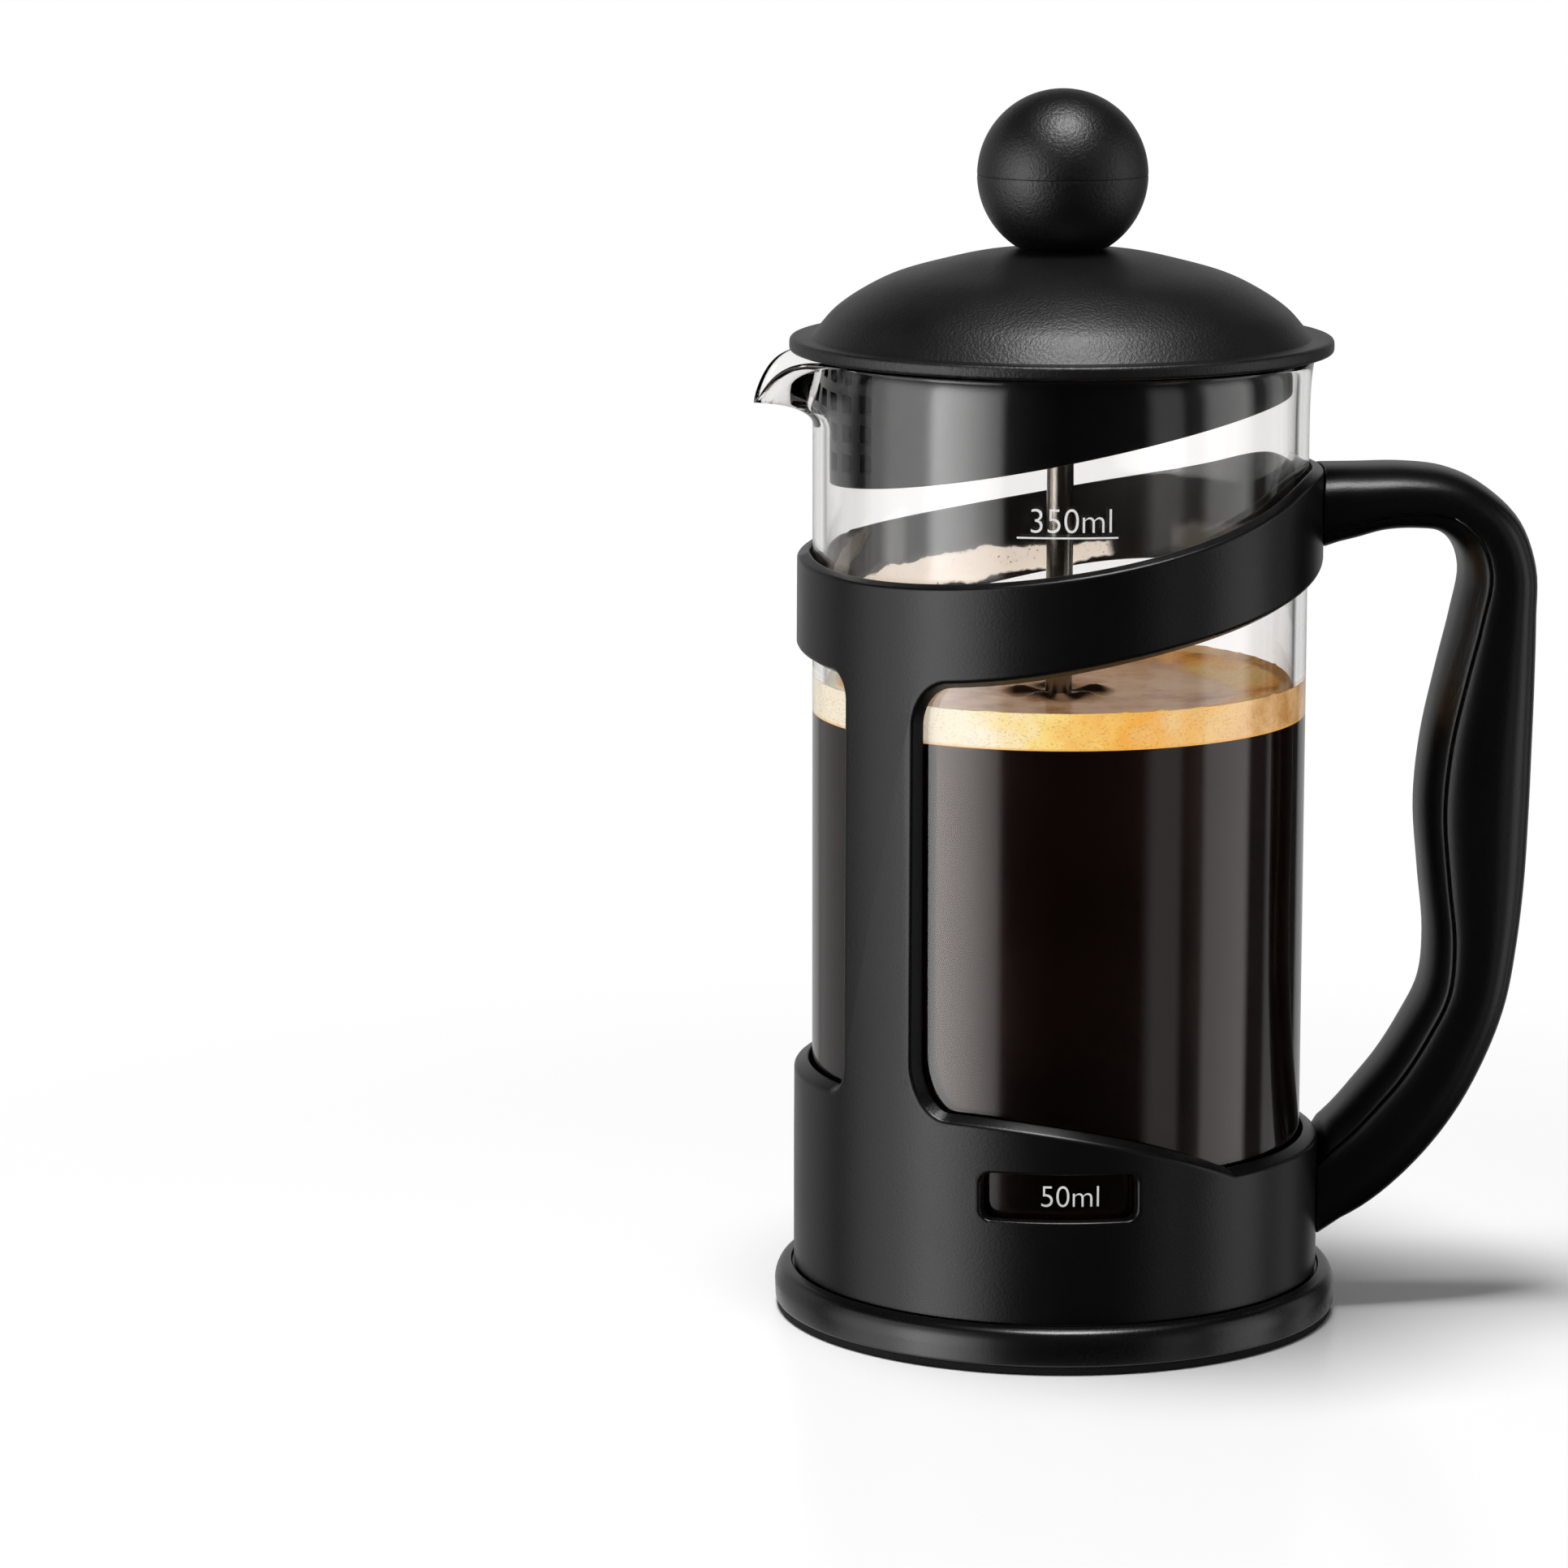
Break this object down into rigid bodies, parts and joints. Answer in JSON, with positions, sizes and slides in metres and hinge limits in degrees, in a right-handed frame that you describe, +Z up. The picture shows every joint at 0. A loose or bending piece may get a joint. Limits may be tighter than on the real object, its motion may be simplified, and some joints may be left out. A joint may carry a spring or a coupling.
{
  "type": "piston coffee press",
  "caption": "Piston coffee press: spouted glass beaker in a black moulded holder with a loop handle, domed lid, ball knob, steel rod and sprung mesh filter.",
  "frame": {"origin": "centre of the round resting face under the base pad", "axes": "+Z up along the plunger rod, +X towards the handle, -X towards the pouring spout"},
  "size_m": [0.1114, 0.0808, 0.1748],
  "materials": {
    "rubber_pad": "matt",
    "gloss_black": "glossy",
    "satin_black": "satin",
    "grained_black": "finely grained matt",
    "clear_glass": "clear",
    "polished_steel": "polished",
    "warm_steel": "polished, slightly bronze",
    "woven_steel": "fine woven wire",
    "brushed_tray": "brushed round the rim"
  },
  "bodies": {
    "holder": {"base_pad": "rubber_pad", "foot_ring": "gloss_black", "holder_frame": "satin_black", "handle_shell": "satin_black", "handle_strip": "satin_black", "handle_screw_upper": "polished_steel", "handle_screw_lower": "polished_steel"},
    "beaker": {"glass_beaker": "clear_glass"},
    "guide": {"rod_guide": "satin_black"},
    "lid": {"lid_dome": "grained_black", "lid_skirt": "satin_black"},
    "plunger": {"knob_base": "grained_black", "knob_cap": "grained_black", "knob_insert": "polished_steel", "plunger_rod": "polished_steel", "filter_hub": "warm_steel", "lock_ring": "warm_steel", "filter_stud": "polished_steel", "pressure_plate": "polished_steel", "edge_spring": "polished_steel", "filter_mesh": "woven_steel", "filter_tray": "brushed_tray"}
  },
  "joints": [
    {"name": "beaker_lift", "type": "slide", "parent": "holder", "child": "beaker", "axis": [0, 0, 1], "range_m": [0, 0.13]},
    {"name": "lid_lift", "type": "slide", "parent": "beaker", "child": "guide", "axis": [0, 0, 1], "range_m": [0, 0.12]},
    {"name": "lid_turn", "type": "hinge", "parent": "guide", "child": "lid", "pos_m": [0, 0, 0.1515], "axis": [0, 0, 1], "continuous": true},
    {"name": "plunger_press", "type": "slide", "parent": "guide", "child": "plunger", "axis": [0, 0, 1], "range_m": [0, 0.076]}
  ]
}
